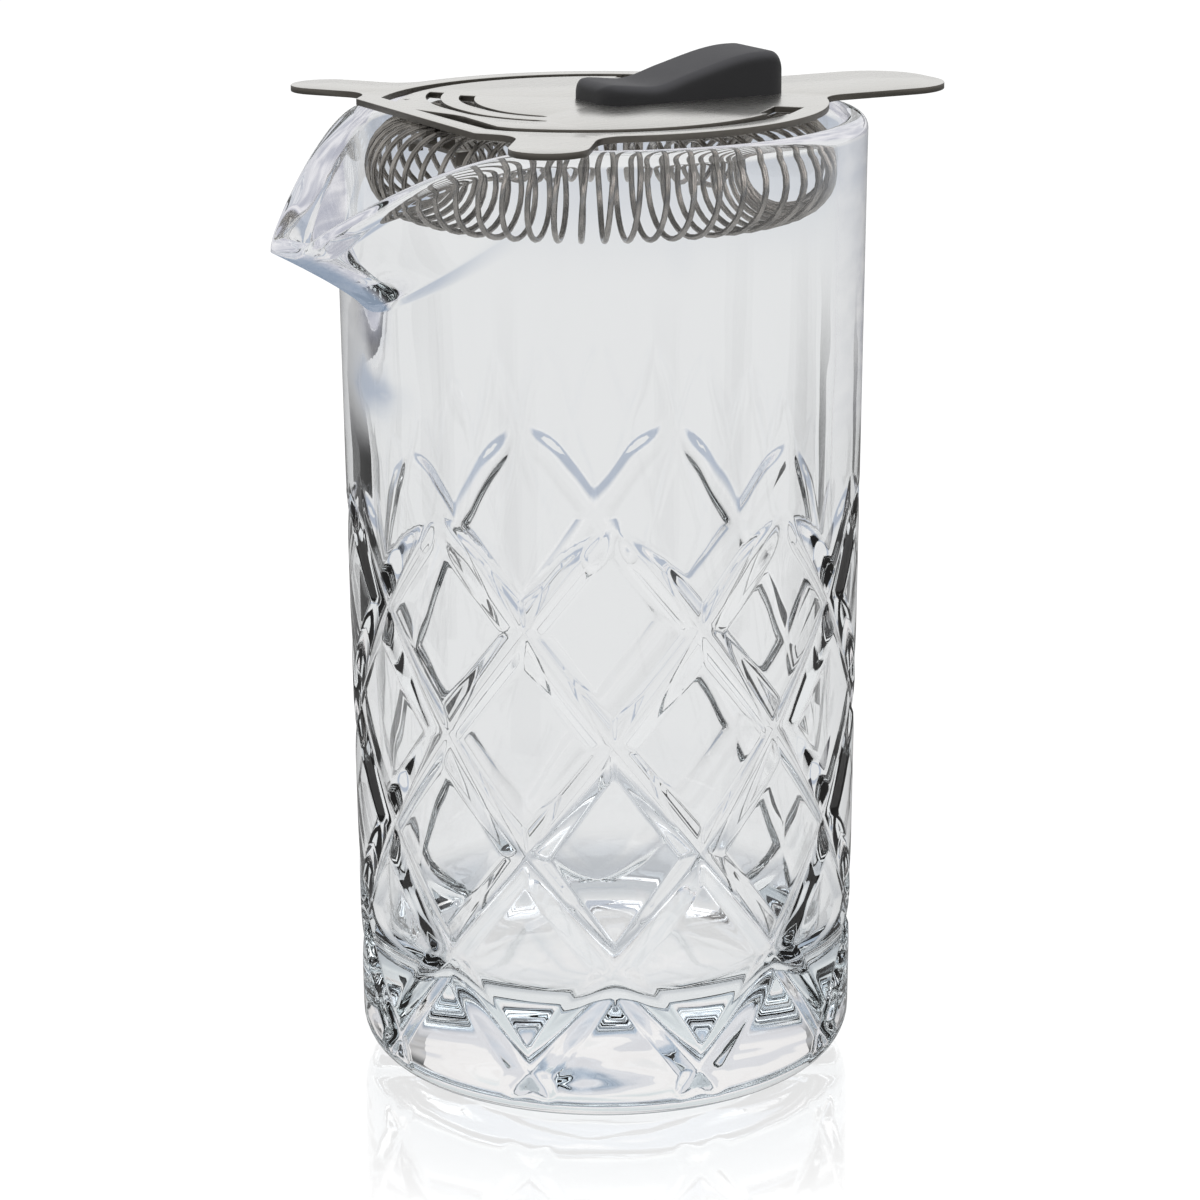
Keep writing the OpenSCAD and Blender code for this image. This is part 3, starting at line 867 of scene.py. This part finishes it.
class SpringOperator(bpy.types.Operator):
    """Wind the coil spring from one wire"""
    bl_idname = "mixing_glass.spring"
    bl_label = "Coil spring"

    def execute(self, context):
        size = context.scene.spring_sizes
        form = GlassForm(context.scene.glass_sizes)
        height = form.size.height - size.curl_d / 2
        ring_r = form.inner_r(height) - size.wall_gap - size.curl_d / 2
        piece = shaped("spring_wire", bpy.data.meshes.new("wire_blank"), spring_tree(), {
            "Curls": float(size.curls), "Ring radius": ring_r,
            "Curl radius": size.curl_d / 2 - size.wire_r, "Wire radius": size.wire_r,
            "Height": height, "Opening": size.open_angle,
            "Turned": context.scene.strainer_sizes.turned, "Finish": wire_finish(size)})
        hand_over(smoothed(piece), "spring", "spring_wire", "coil_spring")
        return {"FINISHED"}


class SheetOperator(bpy.types.Operator):
    """Make the strainer's sheet and the strip that keeps the spring"""
    bl_idname = "mixing_glass.sheet"
    bl_label = "Strainer sheet"

    def execute(self, context):
        size = context.scene.strainer_sizes
        satin = satin_finish("satin_sheet", size, size.turned)
        sheet = rounded_copy("strainer_sheet", "strainer_plate", size.edge_round, satin)
        hand_over(sheet, "strainer", "satin_steel", "strainer_plate")
        strip_satin = satin_finish("satin_strip", size, size.turned + pi / 2)
        strip = rounded_copy("keeper_strip", "spring_keeper", size.edge_round, strip_satin)
        hand_over(strip, "strainer", "keeper_steel", "spring_keeper")
        return {"FINISHED"}


class RivetOperator(bpy.types.Operator):
    """Set the rivets that hold the thumb rest"""
    bl_idname = "mixing_glass.rivets"
    bl_label = "Rivets"

    def execute(self, context):
        size = context.scene.strainer_sizes
        plate = in_plate(size, context.scene.glass_sizes.height)
        middle = size.rest_l / 2 - size.rest_front
        first = plate @ Vector((middle - size.rivet_pitch / 2, 0, 0))
        last = plate @ Vector((middle + size.rivet_pitch / 2, 0, 0))
        piece = shaped("domed_rivets", bpy.data.meshes.new("rivet_blank"), rivet_tree(), {
            "Count": 2, "First": first, "Step": last - first,
            "Shank radius": size.rivet_r,
            "Shank height": size.sheet_t + size.rest_low_h - size.rest_skin,
            "Head radius": size.rivet_head_r, "Head height": size.rivet_head_h,
            "Finish": satin_finish("rivet_steel_finish", size, 0.0)})
        hand_over(smoothed(piece), "strainer", "rivet_steel", "thumb_rest_rivets")
        return {"FINISHED"}


class RestOperator(bpy.types.Operator):
    """Mould the rubber thumb rest"""
    bl_idname = "mixing_glass.rest"
    bl_label = "Thumb rest"

    def execute(self, context):
        size = context.scene.strainer_sizes
        plate = in_plate(size, context.scene.glass_sizes.height)
        shares = [(1 - cos(pi * k / REST_STEPS)) / 2 for k in range(REST_STEPS + 1)]
        rings = [[plate @ Vector(p) for p in rest_section(size, t)] for t in shares]
        count = len(rings[0])
        points = [p for ring in rings for p in ring]
        faces = []
        for k in range(REST_STEPS):
            for s in range(count):
                a, b = k * count + s, k * count + (s + 1) % count
                faces.append((a, a + count, b + count, b))
        faces.append(tuple(range(count)))
        faces.append(tuple(REST_STEPS * count + s for s in reversed(range(count))))
        mesh = bpy.data.meshes.new("thumb_pad")
        mesh.from_pydata(points, [], faces)
        build = bmesh.new()
        build.from_mesh(mesh)
        bmesh.ops.recalc_face_normals(build, faces=build.faces)
        bmesh.ops.triangulate(build, faces=[f for f in build.faces if len(f.verts) > 4])
        build.to_mesh(mesh)
        build.free()
        mesh.materials.append(rubber_finish(size))
        piece = smoothed(add_piece("thumb_pad", mesh))
        hand_over(piece, "strainer", "black_rubber", "thumb_rest")
        mesh.set_sharp_from_angle(angle=REST_CREASE)
        return {"FINISHED"}


# How light the table and the backdrop are, as shares of white
TABLE_WHITE = 1.15
TABLE_MATTE = 0.85
ROOM_LIGHT = 0.62
CEILING_SHADE = 0.45

# Distances from the axis: where the mirror image fades, the ring of painted shadow round the foot,
# where that ring ends, and where the table passes into the room
MIRROR_FADE = (0.052, 0.11)
FOOT_SHADOW_RING = (0.036, 0.046)
FOOT_SHADOW_END = (0.058, 0.11)
TABLE_END = (0.75, 1.4)

# Heights in the room, from 0 level with the object to 1 straight up
BACKDROP_FROM = (0.10, 0.24)
BACKDROP_TOP = (0.368, 0.376)
ROOM_FROM = (0.46, 0.62)
CEILING_FROM = (0.35, 0.9)

# Dark cards round the object: name, degrees to the left of the line of sight, distance,
# width, lower and upper edge, shade. Only the glass shows them. They fade out at their tops.
CARD_FADE = (0.55, 1.0)
CARDS = (
    ("card_left", 45.5, 0.228, 0.075, 0.0, 0.120, (0.02, 0.02, 0.02)),
    ("card_right", -31, 0.235, 0.022, 0.0, 0.112, (0.02, 0.02, 0.02)),
    ("card_side_left", 99.5, 0.24, 0.06, 0.0, 0.12, (0.05, 0.05, 0.06)),
    ("card_side_right", -80.5, 0.24, 0.06, 0.0, 0.12, (0.05, 0.05, 0.06)),
    ("card_front_left", 144.5, 0.24, 0.06, 0.0, 0.10, (0.2, 0.2, 0.22)),
    ("card_front_right", -125.5, 0.24, 0.06, 0.0, 0.10, (0.2, 0.2, 0.22)),
)

# Lamps that look at the glass: name, place, side, power
LAMPS = (
    ("lamp_left", (-0.9, -0.5, 1.3), 2.0, 14),
    ("lamp_right", (0.8, -0.9, 0.9), 1.6, 7),
)
LAMP_AIM = (0, 0, 0.1)
TABLE_REACH = 4.0

# The camera: place, direction, and its long lens, in pixels of a picture 1200 pixels wide
VIEW_FROM = Vector((-0.3663, -0.5844, 0.2718))
VIEW_AZIMUTH = radians(57.92)
VIEW_PITCH = radians(-14.59)
VIEW_ROLL = radians(0.314)
PICTURE_W = 1200
FOCAL_LENGTH = 3891
SHIFT = (-3.4, -37)
FILM_W = 36


def table_finish(size):
    """White table top: plain light to the camera, with a faint mirror image and shadow."""
    finish, bench = new_finish("white_table")
    path = bench.node("ShaderNodeLightPath")
    seen = path["Is Camera Ray"]
    through = path["Is Transmission Ray"]
    mirrored = path["Is Glossy Ray"] * (1 - through)
    x, y = bench.split(bench.node("ShaderNodeTexCoord")["Object"])[:2]
    out = (x * x + y * y).root()
    near = 1 - out.eased(*MIRROR_FADE)
    # Painted shadow: a darker ring on the table round the foot, seen through the glass
    under = out.eased(*FOOT_SHADOW_RING) * (1 - out.eased(*FOOT_SHADOW_END))
    ground = bench.blended(under, solid(size.seen_through), solid(size.painted_foot_shadow))
    ground = bench.blended(out.eased(*TABLE_END), ground, solid(size.seen_above))
    glow = bench.node("ShaderNodeEmission", sockets={
        "Color": bench.blended(through, grey(1.0), ground),
        "Strength": seen * TABLE_WHITE + through + mirrored * size.mirrored_low})["Emission"]
    matte = bench.node("ShaderNodeBsdfDiffuse", sockets={"Color": grey(TABLE_MATTE)})["BSDF"]
    mirror = bench.node("ShaderNodeBsdfGlossy", sockets={
        "Color": grey(1.0), "Roughness": 0.04})["BSDF"]
    table = bench.layered((seen * (1 - size.table_shade)).greatest(through).greatest(mirrored),
                          matte, glow)
    polished = bench.layered(seen * size.table_gloss * near, table, mirror)
    bench.node("ShaderNodeOutputMaterial", sockets={"Surface": polished})
    return finish


def card_finish(name, shade):
    """Dark card that fades out at its top."""
    finish, bench = new_finish(name)
    high = bench.split(bench.node("ShaderNodeTexCoord")["Generated"])[2]
    unseen = high.eased(*CARD_FADE)
    dark = bench.node("ShaderNodeEmission", sockets={"Color": solid(shade)})["Emission"]
    clear = bench.node("ShaderNodeBsdfTransparent")["BSDF"]
    bench.node("ShaderNodeOutputMaterial", sockets={
        "Surface": bench.layered(unseen, dark, clear)})
    return finish


def flat_piece(name, corners, finish):
    """A plain sheet between four corners."""
    mesh = bpy.data.meshes.new(name)
    mesh.from_pydata(corners, [], [(0, 1, 2, 3)])
    mesh.materials.append(finish)
    return add_piece(name, mesh)


def add_lamp(name, place, side, power):
    """A square soft lamp that leaves no patch in the metal."""
    lamp = bpy.data.lights.new(name, "AREA")
    lamp.shape = "SQUARE"
    lamp.size = side
    lamp.energy = power
    holder = add_piece(name, lamp)
    holder.visible_glossy = False
    turned = (Vector(LAMP_AIM) - Vector(place)).to_track_quat("-Z", "Y")
    holder.matrix_world = Matrix.LocRotScale(Vector(place), turned, None)


def add_camera(scene):
    """The camera of the photograph, with its small turn and shift."""
    ahead = Vector((cos(VIEW_PITCH) * cos(VIEW_AZIMUTH), cos(VIEW_PITCH) * sin(VIEW_AZIMUTH),
                    sin(VIEW_PITCH)))
    level = Vector((sin(VIEW_AZIMUTH), -cos(VIEW_AZIMUTH), 0))
    upright = level.cross(ahead)
    right = level * cos(VIEW_ROLL) - upright * sin(VIEW_ROLL)
    up = level * sin(VIEW_ROLL) + upright * cos(VIEW_ROLL)
    lens = bpy.data.cameras.new("camera")
    lens.sensor_width = FILM_W
    lens.lens = FILM_W * FOCAL_LENGTH / PICTURE_W
    lens.shift_x = SHIFT[0] / PICTURE_W
    lens.shift_y = SHIFT[1] / PICTURE_W
    lens.clip_start = 0.01
    lens.clip_end = 20
    camera = add_piece("camera", lens)
    camera.matrix_world = Matrix((
        (right.x, up.x, -ahead.x, VIEW_FROM.x), (right.y, up.y, -ahead.y, VIEW_FROM.y),
        (right.z, up.z, -ahead.z, VIEW_FROM.z), (0, 0, 0, 1)))
    scene.camera = camera


def light_world(scene, size):
    """White all round: plain light on the object, and a white backdrop behind it."""
    world = bpy.data.worlds.new("white_studio")
    world.use_nodes = True
    scene.world = world
    bench = Bench(world.node_tree)
    path = bench.node("ShaderNodeLightPath")
    height = bench.split(bench.node("ShaderNodeTexCoord")["Generated"])[2]
    ceiling = 1 - CEILING_SHADE * height.eased(*CEILING_FROM)
    through = path["Is Transmission Ray"]
    mirrored = path["Is Glossy Ray"] * (1 - through) * ceiling * size.mirrored
    lit = path["Is Diffuse Ray"] * ROOM_LIGHT
    strength = path["Is Camera Ray"].greatest(through).greatest(mirrored).greatest(lit)
    level = bench.blended(height.eased(*BACKDROP_FROM), solid(size.seen_through),
                          solid(size.seen_behind))
    low = bench.blended(height.eased(*BACKDROP_TOP), level, solid(size.seen_over))
    above = bench.blended(height.eased(*ROOM_FROM), low, solid(size.seen_above))
    sky = bench.node("ShaderNodeBackground", sockets={
        "Color": bench.blended(through, grey(1.0), above), "Strength": strength})["Background"]
    bench.node("ShaderNodeOutputWorld", sockets={"Surface": sky})


class StudioOperator(bpy.types.Operator):
    """Set the camera, the table, the dark cards and the light"""
    bl_idname = "mixing_glass.studio"
    bl_label = "Studio"

    def execute(self, context):
        scene = context.scene
        size = scene.studio_sizes
        add_camera(scene)
        light_world(scene, size)
        corners = [(-1, -1, 0), (1, -1, 0), (1, 1, 0), (-1, 1, 0)]
        table = flat_piece("table", [Vector(c) * TABLE_REACH for c in corners],
                           table_finish(size))
        for name, turned, distance, width, low, high, shade in CARDS:
            angle = VIEW_AZIMUTH + radians(turned)
            out = Vector((cos(angle), sin(angle), 0)) * distance
            side = Vector((-sin(angle), cos(angle), 0)) * width / 2
            foot, top = Vector((0, 0, low)), Vector((0, 0, high))
            card = flat_piece(name, [out - side + foot, out + side + foot,
                                     out + side + top, out - side + top],
                              card_finish(name, shade))
            card.visible_camera = False
            card.visible_diffuse = False
            card.visible_glossy = False
            card.visible_shadow = False
        for lamp in LAMPS:
            add_lamp(*lamp)
        scene.view_settings.view_transform = "Standard"
        return {"FINISHED"}


STEPS = (GlassOperator, SpringOperator, SheetOperator, RivetOperator, RestOperator,
         StudioOperator)
SIZES = {"glass_sizes": GlassSizes, "spring_sizes": SpringSizes,
         "strainer_sizes": StrainerSizes, "studio_sizes": StudioSizes}


class MixingGlassPanel(bpy.types.Panel):
    """Sizes, colours and the steps that make the object"""
    bl_idname = "VIEW3D_PT_mixing_glass"
    bl_label = "Mixing glass"
    bl_space_type = "VIEW_3D"
    bl_region_type = "UI"
    bl_category = "Mixing glass"

    def draw(self, context):
        for name, group in SIZES.items():
            box = self.layout.box()
            for field in group.__annotations__:
                box.prop(getattr(context.scene, name), field)
        for step in STEPS:
            self.layout.operator(step.bl_idname)


def register():
    """Add the sizes, the operators and the panel."""
    for group in SIZES.values():
        bpy.utils.register_class(group)
    for name, group in SIZES.items():
        setattr(bpy.types.Scene, name, PointerProperty(type=group))
    for step in STEPS:
        bpy.utils.register_class(step)
    bpy.utils.register_class(MixingGlassPanel)


def unregister():
    """Take them out again, in the opposite order."""
    bpy.utils.unregister_class(MixingGlassPanel)
    for step in reversed(STEPS):
        bpy.utils.unregister_class(step)
    for name, group in SIZES.items():
        delattr(bpy.types.Scene, name)
        bpy.utils.unregister_class(group)


def main():
    """Make every piece and the studio."""
    register()
    bpy.ops.mixing_glass.glass()
    bpy.ops.mixing_glass.spring()
    bpy.ops.mixing_glass.sheet()
    bpy.ops.mixing_glass.rivets()
    bpy.ops.mixing_glass.rest()
    bpy.ops.mixing_glass.studio()


if __name__ == "__main__":
    main()
